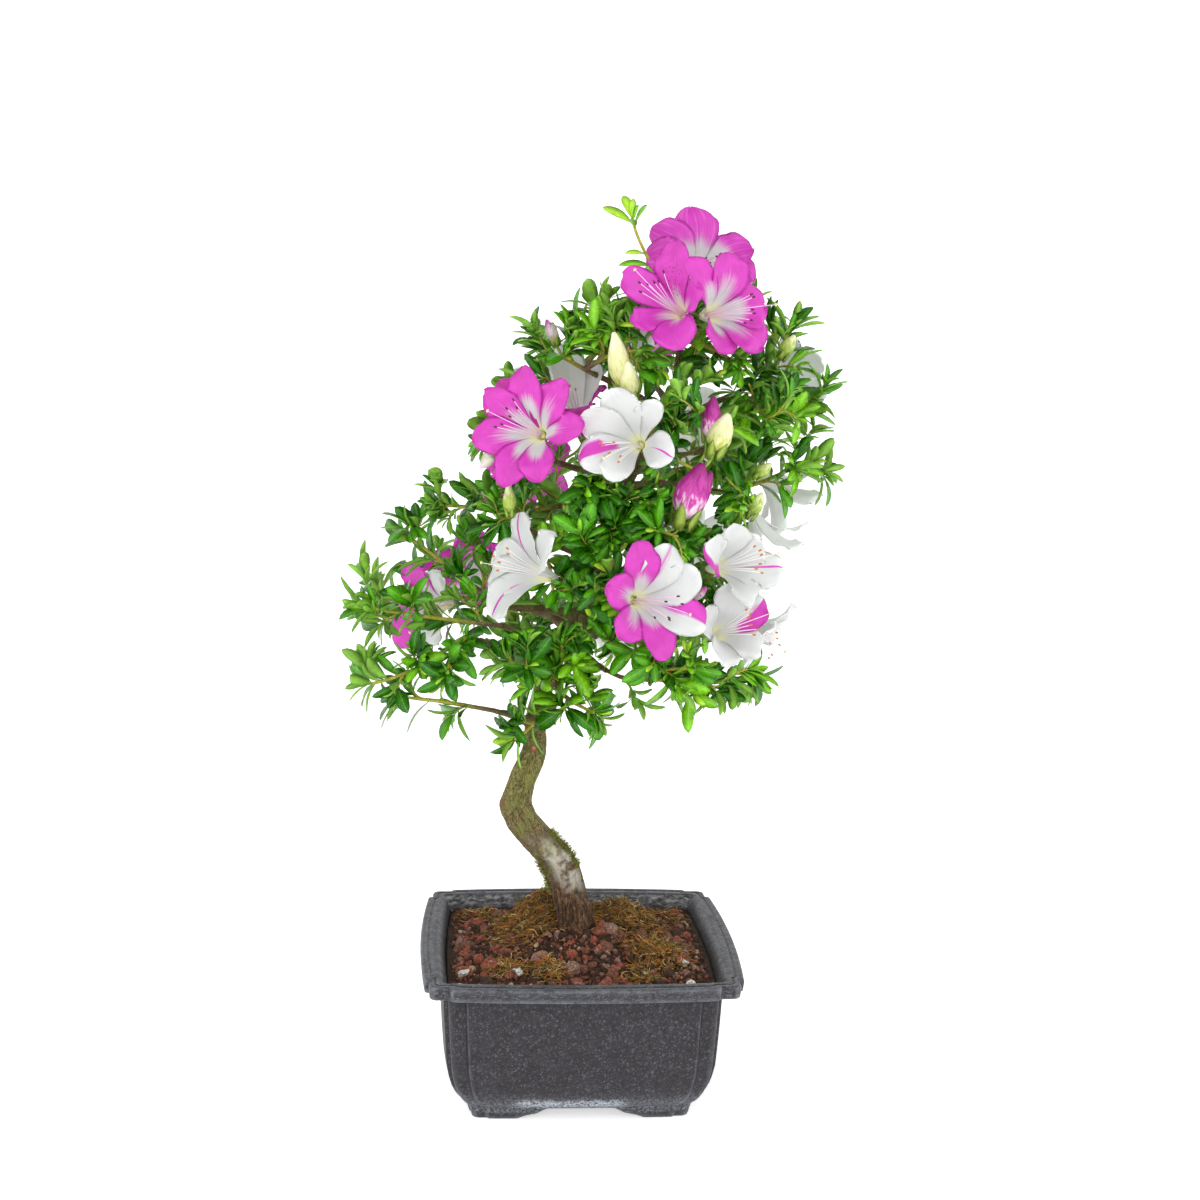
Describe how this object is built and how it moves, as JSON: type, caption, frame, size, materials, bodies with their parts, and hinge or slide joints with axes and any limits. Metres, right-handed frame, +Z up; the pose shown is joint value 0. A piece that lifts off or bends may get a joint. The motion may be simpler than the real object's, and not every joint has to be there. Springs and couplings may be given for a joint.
{
  "type": "azalea bonsai in a square training pot",
  "caption": "Flowering azalea bonsai with an S-curved trunk, layered boughs and a crown of leaves and funnel flowers, standing in a square plastic training pot filled with grit.",
  "frame": {"origin": "on the surface the pot stands on, under the middle of the pot", "axes": "+Z up; the tree's front looks to -Y; +X to the right of the front view"},
  "size_m": [0.2623, 0.1665, 0.4657],
  "materials": {
    "pot": "satin, weathered",
    "soil": "loose grit and dry moss",
    "trunk": "rough bark",
    "bough": "fine bark",
    "foliage": "waxy leaves and soft petals"
  },
  "bodies": {
    "root": {"bough_back_left": "bough", "bough_back_low": "bough", "bough_back_low_right": "bough", "bough_back_mid_left": "bough", "bough_back_mid_right": "bough", "bough_back_top": "bough", "bough_back_upper_left": "bough", "bough_centre": "bough", "bough_front_centre": "bough", "bough_front_low": "bough", "bough_low_left": "bough", "bough_low_right": "bough", "bough_lower_left": "bough", "bough_main_left": "bough", "bough_mid_left": "bough", "bough_mid_right": "bough", "bough_right": "bough", "bough_top_left": "bough", "bough_upper_front": "bough", "bough_upper_left": "bough", "bough_upper_left_front": "bough", "bough_upper_right": "bough", "foliage_apex": "foliage", "foliage_back_left": "foliage", "foliage_back_low": "foliage", "foliage_back_low_right": "foliage", "foliage_back_mid_left": "foliage", "foliage_back_mid_right": "foliage", "foliage_back_top": "foliage", "foliage_back_upper_left": "foliage", "foliage_centre": "foliage", "foliage_front_centre": "foliage", "foliage_front_low": "foliage", "foliage_low_left": "foliage", "foliage_low_right": "foliage", "foliage_lower_left": "foliage", "foliage_main_left": "foliage", "foliage_mid_left": "foliage", "foliage_mid_right": "foliage", "foliage_right": "foliage", "foliage_top_left": "foliage", "foliage_upper_front": "foliage", "foliage_upper_left": "foliage", "foliage_upper_left_front": "foliage", "foliage_upper_right": "foliage", "pot": "pot", "soil": "soil", "trunk": "trunk"}
  },
  "joints": []
}
